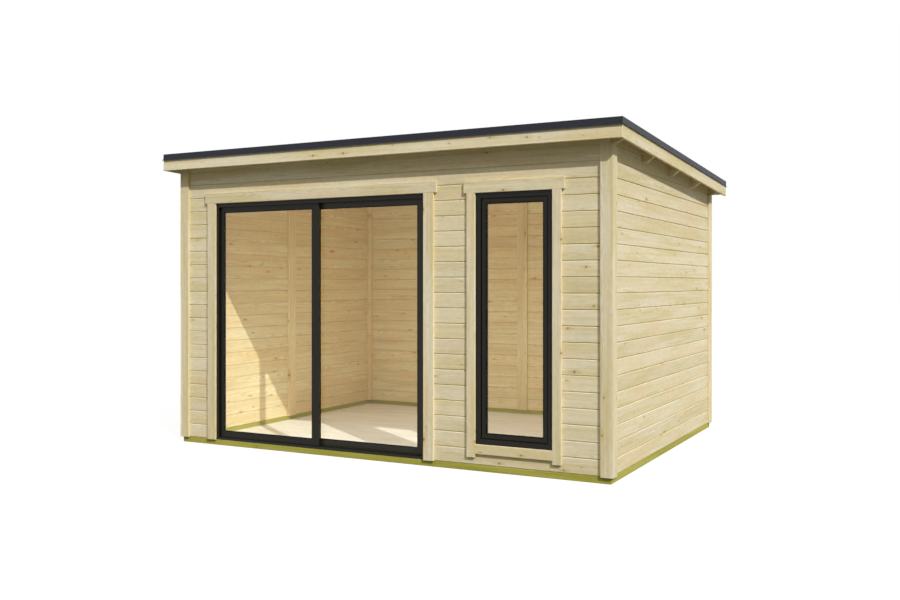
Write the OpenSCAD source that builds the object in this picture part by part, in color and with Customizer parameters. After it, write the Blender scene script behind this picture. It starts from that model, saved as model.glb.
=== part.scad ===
// Timber garden house with a pent roof, a two-leaf sliding glass door and a tall window.
// The front faces -Y, and the origin is on the ground under the middle of the roof.

/* [Walls] */
// Width of the house over the side walls
wall_w = 3850; // [3400:10:5000]
// Depth of the house over the front and back walls
wall_d = 2970; // [2200:10:4000]
// Thickness of the wall boards
wall_t = 28; // [19:1:44]
// Height that one wall board covers
board_h = 114; // [90:1:135]
// Boards above the base at the front wall, with its wall plate as the top one
front_courses = 21; // [20:1:24]
// The same at the back wall
back_courses = 20; // [18:1:20]
// Height of the wall plates
plate_h = 118; // [90:1:140]

/* [Base and floor] */
// Height of the base beams
base_h = 46; // [28:1:90]
// Thickness of the floor panels between the base beams
floor_t = 8; // [6:1:27]

/* [Door] */
// Distance from the left wall's outer face to the door frame
door_x = 368; // [200:1:500]
// Width of the door frame
door_w = 2027; // [1600:1:2150]
// Height of the door frame
door_h = 2005; // [1800:5:2060]
// Thickness of the frame's front lip
front_lip = 16; // [8:1:20]
// Thickness of the two lips behind it
frame_lip = 4; // [3:0.5:6]
// Thickness of the frame's web
frame_web = 5; // [3:0.5:8]
// How far the jambs' lips reach from the back of the web
jamb_reach = 24; // [20:1:35]
// How far the head's lips reach down
head_reach = 35; // [30:1:45]
// How far the sill's lips reach up
sill_reach = 19; // [18:0.5:25]
// Width of the profile that closes the inner track beside the right leaf
close_w = 29; // [15:1:40]
// Thickness of a door leaf
leaf_t = 22; // [22:1:44]
// Clearance between a leaf and the frame
leaf_clear = 5; // [5:0.5:7]
// Clearance above a leaf, for lifting it in
leaf_lift = 9; // [6:0.5:12]
// Width of a leaf's outer stile, without its glazing bead
stile_w = 45; // [40:1:90]
// Width of a leaf's meeting stile, without its glazing bead
meeting_w = 57; // [56:1:70]
// Height of a leaf's top rail, without its glazing bead
top_rail_h = 55; // [50:1:90]
// Height of a leaf's bottom rail, without its glazing bead
bottom_rail_h = 51; // [45:1:90]
// How far the two leaves overlap
leaf_overlap = 89; // [84:1:94]
// Height of the rail that a leaf rolls on, above the web
track_h = 12; // [8:0.5:14]
// Thickness of the rail that a leaf rolls on
track_t = 4; // [3:0.5:5]
// Radius of a roller
roller_r = 9; // [7:0.5:11]
// Width of a roller
roller_w = 8; // [6:0.5:10]
// Running clearance between a roller and its rail
roller_gap = 0.3; // [0.2:0.05:0.4]
// Clearance above a roller
roller_clear = 2; // [1:0.5:4]
// Distance from a roller to the end of its leaf
roller_inset = 120; // [80:5:200]
// Thickness of a leaf's walls beside its rollers
channel_wall = 4; // [2:0.5:5]
// Thickness of the strip with which a leaf hooks behind the other
interlock_t = 2.5; // [2:0.5:3]
// Width of that strip's foot
interlock_foot = 12; // [8:1:20]

/* [Glazing] */
// Thickness of a sealed glass unit
glass_t = 14; // [12:1:18]
// How far the glass sits in its frame
glass_bite = 12; // [8:1:14]
// Width of a glazing bead
bead_w = 10; // [9:1:18]
// How far a glazing bead lies back from the profile's face
bead_step = 2; // [1:0.5:4]

/* [Window] */
// Distance from the left wall's outer face to the window frame
window_x = 2821; // [2750:1:2900]
// Width of the window frame
window_w = 609; // [400:1:700]
// Height of the window frame
window_h = 1838; // [1200:1:1900]
// Height of the window frame's underside above the ground
window_z = 195; // [150:1:250]
// Depth of the window frame
window_frame_d = 60; // [54:1:80]
// Width of the window frame's bars
window_frame_w = 42; // [30:1:60]
// Width of the groove between the window frame and the sash
groove_w = 7; // [4:0.5:10]
// Depth of that groove, from the sash's face
groove_d = 12; // [6:1:20]
// Width of the sash bars, without their glazing bead
sash_w = 20; // [16:1:40]
// Depth of the sash
sash_d = 44; // [36:1:48]
// How far the sash lies back from the frame's face
sash_back = 8; // [2:1:10]
// How far the window's glass lies back from the sash's face
pane_back = 6; // [4:1:12]

/* [Cover boards] */
// Thickness of the cover boards
trim_t = 20; // [12:1:24]
// Width of the cover boards on the corners
corner_trim_w = 72; // [50:1:90]
// Width of the cover boards beside the door
door_trim_w = 87; // [50:1:110]
// Width of the cover boards beside the window
window_trim_w = 68; // [50:1:90]
// Height of the cover boards over the openings
header_h = 87; // [60:1:120]
// How far those boards run past the boards below them
header_over = 25; // [0:1:60]
// How far the cover boards lap over a frame
trim_lap = 3; // [2:1:10]
// How far the cover boards lap down over the base beams
base_lap = 2; // [0:1:20]
// Height of the cover board under the window
sill_trim_h = 70; // [50:1:100]
// How far the window's side boards run down past its frame
window_trim_drop = 95; // [60:5:120]

/* [Inside] */
// Side of a square corner post
post_w = 45; // [30:1:70]
// Width of the battens over the joints of the wall panels
batten_w = 114; // [60:1:160]
// Thickness of those battens
batten_t = 20; // [12:1:30]

/* [Roof frame] */
// Thickness of a purlin
purlin_t = 45; // [35:1:70]
// Height of a purlin
purlin_h = 140; // [120:1:160]
// Number of purlins between the two wall plates
purlin_count = 3; // [1:1:5]
// How far a purlin's full height reaches past the side wall
purlin_nose = 35; // [10:1:60]
// How far a purlin's cut end stays above the side fascia's lower edge
nose_hidden = 15; // [5:1:30]
// Clearance between the roof timbers and the roof that lies on them
seat_gap = 0.1; // [0:0.05:0.3]

/* [Roof] */
// Overhang at the front, over everything
overhang_front = 130; // [80:1:250]
// Overhang at the back, over everything
overhang_back = 199; // [80:1:300]
// Overhang at each side, over everything
overhang_side = 128; // [100:1:250]
// Thickness of the roof boards
deck_t = 18; // [16:1:28]
// Thickness of the roof covering
cover_t = 4; // [2:0.5:8]
// Thickness of the fascia boards
fascia_t = 20; // [16:1:28]
// Height of the fascia boards
fascia_h = 125; // [100:1:135]
// How much lower the fascia is at the back
fascia_back_less = 14; // [0:1:30]
// Thickness of the metal roof edge
edge_t = 2; // [1.5:0.5:4]
// Height of the metal roof edge at the front and back, with its drip hem
edge_h = 55; // [45:1:90]
// The same at the sides
edge_side_h = 50; // [45:1:90]
// How far the metal edge stands above the covering
edge_up = 12; // [6:1:30]
// How far the drip hem stands out along the metal edge's foot
hem_out = 9; // [2:0.5:12]
// Height of the drip hem
hem_h = 7; // [4:0.5:12]
// Reach of the metal edge over the covering, from the fascia's face
edge_leg = 60; // [45:1:100]
// Reach of the ramp behind the metal edge, from the fascia's face
edge_ramp = 18; // [10:1:30]

/* [Hidden] */

// Colours
spruce = [0.80, 0.74, 0.58];
spruce_inside = [0.86, 0.76, 0.58];
impregnated = [0.61, 0.61, 0.25];
anthracite = [0.19, 0.20, 0.20];
roof_metal = [0.22, 0.23, 0.26];
glass_tint = [0.75, 0.82, 0.84, 0.35];
floor_tone = [0.86, 0.81, 0.72];
bitumen = [0.15, 0.15, 0.16];
steel = [0.60, 0.61, 0.62];

// The roof falls by the boards that the back wall has fewer, over the depth of the house
fall = board_h * (front_courses - back_courses);
pitch = atan(fall / wall_d);
front_h = base_h + (front_courses - 1) * board_h + plate_h;
// Height of the roof boards' underside at a distance y behind the front wall's outer face,
// and of what carries them
function deck_z(y) = front_h - y * fall / wall_d;
function top_z(y) = deck_z(y) - seat_gap;

// The roof's own frame: x to the right, y down the slope and z out of the roof, from the
// roof boards' underside at the left end of the front edge
roof_w = wall_w + 2 * overhang_side;
roof_l = (wall_d + overhang_front + overhang_back) / cos(pitch);
cover_z = deck_t + cover_t;
edge_z = cover_z + edge_up;
// The fascia's face lies behind the hem and the metal's outer leg
edge_out = hem_out + edge_t;
inner_edge = edge_out + fascia_t;

// The house is centred on the whole roof, and the drip hems, which hang below the roof
// boards, lean forward at both ends
lean = (edge_h - edge_z) * sin(pitch);
front_y = (overhang_front + 2 * lean - wall_d - overhang_back) / 2;

front_wall_top = front_h - plate_h;
back_plate_z = deck_z(wall_d) - plate_h;
// A purlin reaches to the side fascia
purlin_reach = overhang_side - inner_edge - seat_gap;
purlin_pitch = (wall_d - wall_t) / (purlin_count + 1);

// Door: tracks, leaves and their parts, measured from the frame's outer lower left corner
track_pitch = leaf_t + 2 * leaf_clear + frame_lip;
door_d = front_lip + 2 * track_pitch;
leaf_inset = frame_web + leaf_clear;
leaf_w = (door_w - 2 * leaf_inset - close_w + leaf_overlap) / 2;
leaf_h = door_h - 2 * frame_web - leaf_clear - leaf_lift;
left_leaf_x = door_x + leaf_inset;
right_leaf_x = door_x + door_w - close_w - leaf_inset - leaf_w;
left_leaf_y = front_lip + leaf_clear;
right_leaf_y = left_leaf_y + track_pitch;
leaf_z = base_h + leaf_inset;
// Height of a roller's axle above the leaf's underside, and the channel that holds the roller
roller_z = frame_web + track_h + roller_gap + roller_r - leaf_inset;
axle_r = roller_r / 3;
channel_h = roller_z + roller_r + roller_clear;
// The meeting stiles hook behind each other, a clearance to either side of the middle, and
// the strips end a clearance short of the middle lips
interlock_out = leaf_clear + frame_lip;
interlock_inset = leaf_overlap / 2 - leaf_clear / 2;
interlock_low = sill_reach - leaf_inset + leaf_clear;
interlock_high = head_reach - frame_web - leaf_lift + leaf_clear;

// Heights where the cover boards end
trim_bottom = base_h - base_lap;
door_top = base_h + door_h;
window_top = window_z + window_h;
window_trim_bottom = window_z - window_trim_drop;

// How far a cutting shape runs past what it cuts
past = 1;

// Everything is drawn from the left end of the front wall's outer face, at ground level
module placed() {
    translate([-wall_w / 2, front_y, 0]) children();
}

// A block between two corners
module block(low, high) {
    translate(low) cube(high - low);
}

// A block that runs up to the roof boards and is cut off along their slope
module block_to_deck(x0, x1, y0, y1, z0) {
    outline = [[y0, z0], [y1, z0], [y1, top_z(y1)], [y0, top_z(y0)]];
    translate([x0, 0, 0]) rotate([90, 0, 90]) linear_extrude(x1 - x0) polygon(outline);
}

// Both ends of something symmetrical about the house's middle
module both_sides() {
    children();
    translate([wall_w, 0, 0]) mirror([1, 0, 0]) children();
}

// ---- Base and floor

module base_beam_front() color(impregnated) placed()
    block([0, 0, 0], [wall_w, wall_t, base_h]);

module base_beam_back() color(impregnated) placed()
    block([0, wall_d - wall_t, 0], [wall_w, wall_d, base_h]);

module base_beams_side() color(impregnated) placed()
    both_sides() block([0, wall_t, 0], [wall_t, wall_d - wall_t, base_h]);

module floor() color(floor_tone) placed()
    block([wall_t, wall_t, 0], [wall_w - wall_t, wall_d - wall_t, floor_t]);

// ---- Walls

// A stretch of the front wall between two heights
module front_stretch(x0, x1, z0, z1) color(spruce) placed()
    block([x0, 0, z0], [x1, wall_t, z1]);

module front_wall_left() front_stretch(wall_t, door_x, base_h, front_wall_top);

module front_wall_middle() front_stretch(door_x + door_w, window_x, base_h, front_wall_top);

module front_wall_right()
    front_stretch(window_x + window_w, wall_w - wall_t, base_h, front_wall_top);

module front_wall_over_door() front_stretch(door_x, door_x + door_w, door_top, front_wall_top);

module front_wall_at_window() {
    front_stretch(window_x, window_x + window_w, base_h, window_z);
    front_stretch(window_x, window_x + window_w, window_top, front_wall_top);
}

// A side wall, notched where the wall plates and purlins pass through it
module side_wall() color(spruce) difference() {
    block_to_deck(0, wall_t, 0, wall_d, base_h);
    roof_timbers();
}

module left_wall() placed() side_wall();

module right_wall() placed() translate([wall_w, 0, 0]) mirror([1, 0, 0]) side_wall();

module back_wall() color(spruce) placed()
    block([wall_t, wall_d - wall_t, base_h], [wall_w - wall_t, wall_d, back_plate_z]);

// ---- Cover boards

// The boards on the front face end at the wall's corner, and the side boards cover their edges
module front_corner_boards() color(spruce) placed() both_sides()
    block([0, -trim_t, trim_bottom], [corner_trim_w, 0, top_z(0)]);

module back_corner_boards() color(spruce) placed() both_sides()
    block([0, wall_d, trim_bottom], [corner_trim_w, wall_d + trim_t, top_z(wall_d + trim_t)]);

module side_corner_boards() color(spruce) placed() both_sides() {
    block([-trim_t, -trim_t, trim_bottom], [0, corner_trim_w, front_wall_top]);
    block([-trim_t, wall_d - corner_trim_w, trim_bottom], [0, wall_d + trim_t, back_plate_z]);
}

// A pair of boards beside an opening
module jamb_trims(x, w, board_w, z0, z1) color(spruce) placed() {
    block([x + trim_lap - board_w, -trim_t, z0], [x + trim_lap, 0, z1]);
    block([x + w - trim_lap, -trim_t, z0], [x + w - trim_lap + board_w, 0, z1]);
}

// The board over an opening, which runs past the boards beside it
module header_trim(x, w, board_w, top) color(spruce) placed() {
    reach = board_w - trim_lap + header_over;
    block([x - reach, -trim_t, top - trim_lap], [x + w + reach, 0, top - trim_lap + header_h]);
}

module door_jamb_trims()
    jamb_trims(door_x, door_w, door_trim_w, trim_bottom, door_top - trim_lap);

module door_header_trim() header_trim(door_x, door_w, door_trim_w, door_top);

module window_jamb_trims()
    jamb_trims(window_x, window_w, window_trim_w, window_trim_bottom, window_top - trim_lap);

module window_header_trim() header_trim(window_x, window_w, window_trim_w, window_top);

module window_sill_trim() color(spruce) placed()
    block([window_x + trim_lap, -trim_t, window_z + trim_lap - sill_trim_h],
          [window_x + window_w - trim_lap, 0, window_z + trim_lap]);

// ---- Door frame

// Middle of a track, and the face of a lip behind the front one, across the frame
function track_y(track) = front_lip + leaf_clear + leaf_t / 2 + track * track_pitch;
function lip_y(lip) = front_lip + lip * track_pitch - frame_lip;

// Extrudes a section drawn in y and z along the x axis
module along_x(length) {
    rotate([90, 0, 90]) linear_extrude(length) children();
}

// The three lips that form the two tracks
module lip_section(reach) {
    square([front_lip, reach]);
    for (lip = [1, 2])
        translate([lip_y(lip), 0]) square([frame_lip, reach]);
}

module web_section() square([door_d, frame_web]);

// The profile that stands in the inner track beside the right leaf
module closing_section()
    translate([lip_y(1) + frame_lip, frame_web]) square([track_pitch - frame_lip, close_w]);

// The jambs stand between the webs of head and sill
module door_jambs() color(anthracite) placed() for (side = [0, 1])
    translate([door_x + side * door_w, 0, base_h + frame_web]) mirror([side, 0, 0])
        linear_extrude(door_h - 2 * frame_web) mirror([1, -1, 0]) {
            web_section();
            lip_section(jamb_reach);
            if (side == 1) closing_section();
        }

// The head's and sill's lips run between the jambs' lips
module track_bar(reach) {
    along_x(door_w) web_section();
    translate([jamb_reach, 0, 0]) along_x(door_w - 2 * jamb_reach) lip_section(reach);
}

module door_head() color(anthracite) placed()
    translate([door_x, 0, door_top]) mirror([0, 0, 1]) track_bar(head_reach);

// The sill also has the rails that the leaves roll on, and the inner one ends at the
// closing profile
module door_sill() color(anthracite) placed() translate([door_x, 0, base_h]) {
    track_bar(sill_reach);
    for (track = [0, 1])
        translate([frame_web, track_y(track) - track_t / 2, 0])
            cube([door_w - 2 * frame_web - track * close_w, track_t, frame_web + track_h]);
}

// ---- Door leaves

// A leaf is drawn from its outer lower corner, with its meeting stile at the far end
module left_place() placed() translate([left_leaf_x, left_leaf_y, leaf_z]) children();

module right_place() placed()
    translate([right_leaf_x + leaf_w, right_leaf_y, leaf_z]) mirror([1, 0, 0]) children();

glass_low = stile_w + bead_w - glass_bite;
glass_high = leaf_w - meeting_w - bead_w + glass_bite;
glass_foot = bottom_rail_h + bead_w - glass_bite;
glass_top = leaf_h - top_rail_h - bead_w + glass_bite;

module leaf_glass() color(glass_tint)
    block([glass_low, (leaf_t - glass_t) / 2, glass_foot],
          [glass_high, (leaf_t + glass_t) / 2, glass_top]);

// The channel under the leaf that takes the rollers and the sill's rail
module leaf_channel()
    block([-past, channel_wall, -past], [leaf_w + past, leaf_t - channel_wall, channel_h]);

module leaf_stiles() color(anthracite) difference() {
    union() {
        block([0, 0, 0], [stile_w, leaf_t, leaf_h]);
        block([leaf_w - meeting_w, 0, 0], [leaf_w, leaf_t, leaf_h]);
        for (x = [stile_w, leaf_w - meeting_w - bead_w])
            block([x, bead_step, bottom_rail_h],
                  [x + bead_w, leaf_t - bead_step, leaf_h - top_rail_h]);
    }
    leaf_glass();
    leaf_channel();
}

// A rail stands between the stiles, and its bead between the stiles' beads
module rail(z0, z1, bead_z) {
    block([stile_w, 0, z0], [leaf_w - meeting_w, leaf_t, z1]);
    block([stile_w + bead_w, bead_step, bead_z],
          [leaf_w - meeting_w - bead_w, leaf_t - bead_step, bead_z + bead_w]);
}

module leaf_rails() color(anthracite) difference() {
    union() {
        rail(0, bottom_rail_h, bottom_rail_h);
        rail(leaf_h - top_rail_h, leaf_h, leaf_h - top_rail_h - bead_w);
    }
    leaf_glass();
    leaf_channel();
}

// Rollers on their axles, and the strip that hooks behind the other leaf's
module leaf_fittings(face, out) color(steel) {
    for (x = [roller_inset, leaf_w - roller_inset])
        translate([x, leaf_t / 2, roller_z]) rotate([90, 0, 0]) {
            cylinder(r = roller_r, h = roller_w, center = true, $fn = 48);
            cylinder(r = axle_r, h = leaf_t - 2 * channel_wall, center = true, $fn = 24);
        }
    hook_x = leaf_w - interlock_inset;
    translate([hook_x, face, 0]) mirror([0, out < 0 ? 1 : 0, 0]) {
        block([0, 0, interlock_low],
              [interlock_foot, interlock_t, leaf_h - interlock_high]);
        block([0, 0, interlock_low],
              [interlock_t, interlock_out, leaf_h - interlock_high]);
    }
}

module left_leaf_stiles() left_place() leaf_stiles();
module left_leaf_rails() left_place() leaf_rails();
module left_leaf_glass() left_place() leaf_glass();
module left_leaf_fittings() left_place() leaf_fittings(leaf_t, 1);
module right_leaf_stiles() right_place() leaf_stiles();
module right_leaf_rails() right_place() leaf_rails();
module right_leaf_glass() right_place() leaf_glass();
module right_leaf_fittings() right_place() leaf_fittings(0, -1);

// ---- Window

module window_place() placed() translate([window_x, 0, window_z]) children();

// A block as large as the window's outline less an inset all round, between two depths
module window_block(inset, y0, y1)
    block([inset, y0, inset], [window_w - inset, y1, window_h - inset]);

sash_end = sash_back + sash_d;
sash_edge = window_frame_w + groove_w;
sash_inset = sash_edge + sash_w;
pane_y = sash_back + pane_back;

// The frame, with a groove between its face and the sash
module window_frame() color(anthracite) window_place() difference() {
    window_block(0, 0, window_frame_d);
    window_block(window_frame_w, -past, sash_back + groove_d);
    window_block(sash_edge, -past, window_frame_d + past);
}

module window_pane() color(glass_tint)
    window_block(sash_inset + bead_w - glass_bite, pane_y, pane_y + glass_t);

module window_sash() color(anthracite) window_place() difference() {
    union() {
        window_block(sash_edge, sash_back + bead_step, sash_end - bead_step);
        difference() {
            window_block(sash_edge, sash_back, sash_end);
            window_block(sash_inset, sash_back - past, sash_end + past);
        }
    }
    window_block(sash_inset + bead_w, 0, window_frame_d);
    window_pane();
}

module window_glass() window_place() window_pane();

// ---- Inside

module corner_posts() color(spruce_inside) placed() both_sides()
    for (y = [wall_t, wall_d - wall_t - post_w])
        block_to_deck(wall_t, wall_t + post_w, y, y + post_w, base_h);

// The battens over the joints of the wall panels end under the roof timbers
module wall_battens() color(spruce_inside) placed() {
    side_y = (wall_d - batten_w) / 2;
    back_x = (wall_w - batten_w) / 2;
    inside_y = wall_d - wall_t;
    both_sides() block([wall_t, side_y, base_h],
        [wall_t + batten_t, side_y + batten_w, deck_z(side_y + batten_w) - purlin_h]);
    block([back_x, inside_y - batten_t, base_h], [back_x + batten_w, inside_y, back_plate_z]);
}

// ---- Roof timbers

// A timber across the house with its top on the roof's slope and its ends cut up
module timber(y0, y1, z0) {
    nose_z = deck_z(y0) - (fascia_h - deck_t) + nose_hidden;
    cut = [[-purlin_nose, z0], [-purlin_reach, nose_z], [-purlin_reach - past, nose_z],
           [-purlin_reach - past, z0 - past], [-purlin_nose, z0 - past]];
    difference() {
        block_to_deck(-purlin_reach, wall_w + purlin_reach, y0, y1, z0);
        both_sides() translate([0, y1 + past, 0]) rotate([90, 0, 0])
            linear_extrude(y1 - y0 + 2 * past) polygon(cut);
    }
}

// Wall plates on the front and back walls, and the purlins between them
module roof_timbers() {
    timber(0, wall_t, front_wall_top);
    for (k = [1 : purlin_count])
        timber(k * purlin_pitch, k * purlin_pitch + purlin_t, deck_z(k * purlin_pitch) - purlin_h);
    timber(wall_d - wall_t, wall_d, back_plate_z);
}

module purlins() color(spruce) placed() roof_timbers();

// ---- Roof

module on_roof() placed()
    translate([-overhang_side, -overhang_front, deck_z(-overhang_front)])
        rotate([-pitch, 0, 0]) children();

// The same at the other end of the roof, or at its other side
module at_back() translate([0, roof_l, 0]) mirror([0, 1, 0]) children();
module at_right() translate([roof_w, 0, 0]) mirror([1, 0, 0]) children();

module roof_deck() color(spruce) on_roof()
    block([inner_edge, inner_edge, 0], [roof_w - inner_edge, roof_l - inner_edge, deck_t]);

module roof_covering() color(bitumen) on_roof()
    block([edge_out, edge_out, deck_t], [roof_w - edge_out, roof_l - edge_out, cover_z]);

// A fascia board, which stands in front of the roof boards and the purlins' ends
module fascia_front() color(spruce) on_roof()
    block([edge_out, edge_out, deck_t - fascia_h], [roof_w - edge_out, inner_edge, deck_t]);

module fascia_back() color(spruce) on_roof() at_back()
    block([inner_edge, edge_out, deck_t - fascia_h + fascia_back_less],
          [roof_w - inner_edge, inner_edge, deck_t]);

module fascia_sides() color(spruce) on_roof() {
    side = [edge_out, inner_edge, deck_t - fascia_h];
    block(side, [inner_edge, roof_l - edge_out, deck_t]);
    at_right() block(side, [inner_edge, roof_l - edge_out, deck_t]);
}

// The metal edge: an outer leg with a drip hem at its foot, a ramp down to the covering and a
// leg lying on it
module edge_section(h) {
    foot = edge_z - h;
    top_end = edge_out + edge_t;
    ramp_end = edge_out + edge_ramp;
    leg_end = edge_out + edge_leg;
    polygon([[0, foot], [hem_out, foot + hem_h], [hem_out, edge_z], [top_end, edge_z],
             [ramp_end, cover_z + edge_t], [leg_end, cover_z + edge_t], [leg_end, cover_z],
             [ramp_end, cover_z], [top_end, edge_z - edge_t], [edge_out, edge_z - edge_t],
             [edge_out, foot + hem_h], [edge_t, foot]]);
}

// A length of metal edge along x, mitred at both ends
module edge_run(length, h) color(roof_metal) {
    deep = edge_out + edge_leg + past;
    outline = [[0, 0], [length, 0], [length - deep, deep], [deep, deep]];
    intersection() {
        along_x(length) edge_section(h);
        translate([0, 0, edge_z - h - past]) linear_extrude(h + 2 * past) polygon(outline);
    }
}

module edge_trim_front() on_roof() edge_run(roof_w, edge_h);

module edge_trim_back() on_roof() at_back() edge_run(roof_w, edge_h);

module edge_trim_sides() on_roof() {
    mirror([1, -1, 0]) edge_run(roof_l, edge_side_h);
    at_right() mirror([1, -1, 0]) edge_run(roof_l, edge_side_h);
}

base_beam_front();
base_beam_back();
base_beams_side();
floor();
front_wall_left();
front_wall_middle();
front_wall_right();
front_wall_over_door();
front_wall_at_window();
left_wall();
right_wall();
back_wall();
front_corner_boards();
back_corner_boards();
side_corner_boards();
door_jamb_trims();
door_header_trim();
window_jamb_trims();
window_header_trim();
window_sill_trim();
door_jambs();
door_head();
door_sill();
left_leaf_stiles();
left_leaf_rails();
left_leaf_glass();
left_leaf_fittings();
right_leaf_stiles();
right_leaf_rails();
right_leaf_glass();
right_leaf_fittings();
window_frame();
window_sash();
window_glass();
corner_posts();
wall_battens();
purlins();
roof_deck();
roof_covering();
fascia_front();
fascia_back();
fascia_sides();
edge_trim_front();
edge_trim_back();
edge_trim_sides();
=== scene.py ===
import math
import random

import bmesh
import bpy
from mathutils import Matrix, Vector


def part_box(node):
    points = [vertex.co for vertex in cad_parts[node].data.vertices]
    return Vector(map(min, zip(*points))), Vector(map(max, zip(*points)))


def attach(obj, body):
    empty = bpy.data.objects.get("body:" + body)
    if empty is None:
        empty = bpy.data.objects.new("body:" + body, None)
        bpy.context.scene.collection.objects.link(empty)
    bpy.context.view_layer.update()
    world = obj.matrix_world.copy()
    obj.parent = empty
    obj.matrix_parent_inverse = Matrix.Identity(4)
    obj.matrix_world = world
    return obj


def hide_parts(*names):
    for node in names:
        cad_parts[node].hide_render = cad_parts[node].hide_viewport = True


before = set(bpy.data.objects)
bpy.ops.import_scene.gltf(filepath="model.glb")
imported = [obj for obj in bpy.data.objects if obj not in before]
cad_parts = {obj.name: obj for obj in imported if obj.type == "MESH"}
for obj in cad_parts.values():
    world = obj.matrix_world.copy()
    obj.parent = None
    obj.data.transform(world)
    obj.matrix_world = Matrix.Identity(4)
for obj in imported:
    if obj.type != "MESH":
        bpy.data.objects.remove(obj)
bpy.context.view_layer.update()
print("frame loaded")

scene = bpy.context.scene
scene.view_settings.view_transform = "Standard"


def corners(node):
    return [vertex.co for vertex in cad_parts[node].data.vertices]


# The roof's own axes: across the house, down the slope and out of the roof
deckFront = min(corners("roof_deck"), key=lambda spot: (round(spot.y, 4), spot.x))
deckBack = min(corners("roof_deck"), key=lambda spot: (round(spot.z, 4), spot.x))
downSlope = (deckBack - deckFront).normalized()
worldAxes = (Vector((1, 0, 0)), Vector((0, 1, 0)), Vector((0, 0, 1)))
roofAxes = (worldAxes[0], downSlope, worldAxes[0].cross(downSlope))

# The faces of the house that the pieces are laid against
leftFace, leftInner = (corner.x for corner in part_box("left_wall"))
rightInner, rightFace = (corner.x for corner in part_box("right_wall"))
frontFace, frontInner = (corner.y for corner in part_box("front_wall_left"))
backInner, backFace = (corner.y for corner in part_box("back_wall"))
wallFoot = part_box("left_wall")[0].z
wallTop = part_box("left_wall")[1].z
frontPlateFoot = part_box("front_wall_left")[1].z
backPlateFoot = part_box("back_wall")[1].z
wallThick = leftInner - leftFace


touching = 0.001  # closer than this counts as at the same place


def inRoom(spot):
    # true for a face inside the four walls
    return (leftInner - touching < spot.x < rightInner + touching
            and frontInner - touching < spot.y < backInner + touching)


class Wire:
    # an output socket that can stand in a sum
    def __init__(self, finish, socket):
        self.finish, self.socket = finish, socket

    def sum(self, operation, *values):
        return self.finish.add("ShaderNodeMath", {"operation": operation}, dict(enumerate(values)))

    def __add__(self, other):
        return self.sum("ADD", self, other)

    def __radd__(self, other):
        return self.sum("ADD", other, self)

    def __sub__(self, other):
        return self.sum("SUBTRACT", self, other)

    def __rsub__(self, other):
        return self.sum("SUBTRACT", other, self)

    def __mul__(self, other):
        return self.sum("MULTIPLY", self, other)

    def __rmul__(self, other):
        return self.sum("MULTIPLY", other, self)

    def __truediv__(self, other):
        return self.sum("DIVIDE", self, other)

    def __rtruediv__(self, other):
        return self.sum("DIVIDE", other, self)

    def __pow__(self, other):
        return self.sum("POWER", self, other)

    def __rpow__(self, other):
        return self.sum("POWER", other, self)


class Finish:
    # a tree of shader nodes, for a material or for the world
    def __init__(self, owner):
        self.owner = owner
        owner.use_nodes = True
        self.tree = owner.node_tree
        self.tree.nodes.clear()

    def add(self, kind, settings=None, values=None, output=0):
        node = self.tree.nodes.new(kind)
        for name, value in (settings or {}).items():
            setattr(node, name, value)
        for socket, value in (values or {}).items():
            if isinstance(value, Wire):
                self.tree.links.new(value.socket, node.inputs[socket])
            else:
                node.inputs[socket].default_value = value
        return Wire(self, node.outputs[output])

    def split(self, vector):
        first = self.add("ShaderNodeSeparateXYZ", {}, {0: vector})
        return [Wire(self, socket) for socket in first.socket.node.outputs]

    def vectors(self, operation, first, second):
        return self.add("ShaderNodeVectorMath", {"operation": operation}, {0: first, 1: second})

    def scaled(self, vector, amount):
        return self.add("ShaderNodeVectorMath", {"operation": "SCALE"}, {0: vector, "Scale": amount})

    def noise(self, spot, stretch, detail=2.0, roughness=0.5):
        return self.add("ShaderNodeTexNoise", {"noise_dimensions": "3D"},
                        {"Vector": self.vectors("MULTIPLY", spot, stretch), "Scale": 1.0,
                         "Detail": detail, "Roughness": roughness})

    def fade(self, value, start, end):
        # 0 before start and 1 after end, or the other way round where start is the larger
        return self.add("ShaderNodeMapRange", {"interpolation_type": "SMOOTHSTEP"},
                        {"Value": value, "From Min": start, "From Max": end})

    def mix(self, factor, first, second, blend="MIX"):
        return self.add("ShaderNodeMix", {"data_type": "RGBA", "blend_type": blend},
                        {0: factor, 6: first, 7: second}, 2)

    def bump(self, height, distance, strength):
        return self.add("ShaderNodeBump", {},
                        {"Strength": strength, "Distance": distance, "Height": height})

    def close(self, shader, kind="ShaderNodeOutputMaterial"):
        output = self.tree.nodes.new(kind)
        self.tree.links.new(shader.socket, output.inputs["Surface"])
        return self.owner


def tone(red, green, blue):
    # a screen colour from 0 to 255, as the linear colour that a shader takes
    def linear(level):
        level /= 255
        return level / 12.92 if level <= 0.04045 else ((level + 0.055) / 1.055) ** 2.4
    return (linear(red), linear(green), linear(blue), 1.0)


white = (1.0, 1.0, 1.0, 1.0)


# Stretches are along the board, across it and into it: a higher number makes finer marks
wood = {
    "shuffle": (61.0, 43.0, 29.0),
    "knotEvery": 0.26, "knotRow": 0.13, "knotSmall": 0.0025, "knotLarge": 0.0085, "knotShare": 0.62,
    "knotFaint": 0.35, "wobble": (160.0, 160.0, 160.0), "wobbleWidth": 0.0035,
    "ringWidth": 0.0042, "sway": 0.03, "swayStretch": (0.7, 3.0, 3.0), "leanStretch": (1.9, 5.0, 5.0),
    "pithAside": 0.15, "pithDeep": 0.03, "pithSpread": 0.06,
    "broad": (0.9, 9.0, 9.0), "streak": (1.6, 46.0, 46.0), "mottle": (20.0, 38.0, 38.0),
    "flush": (1.4, 12.0, 12.0), "fibre": (14.0, 620.0, 620.0),
    "worn": 0.004, "rough": 0.56, "roughStreak": 0.22, "roughKnot": 0.12,
}


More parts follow.
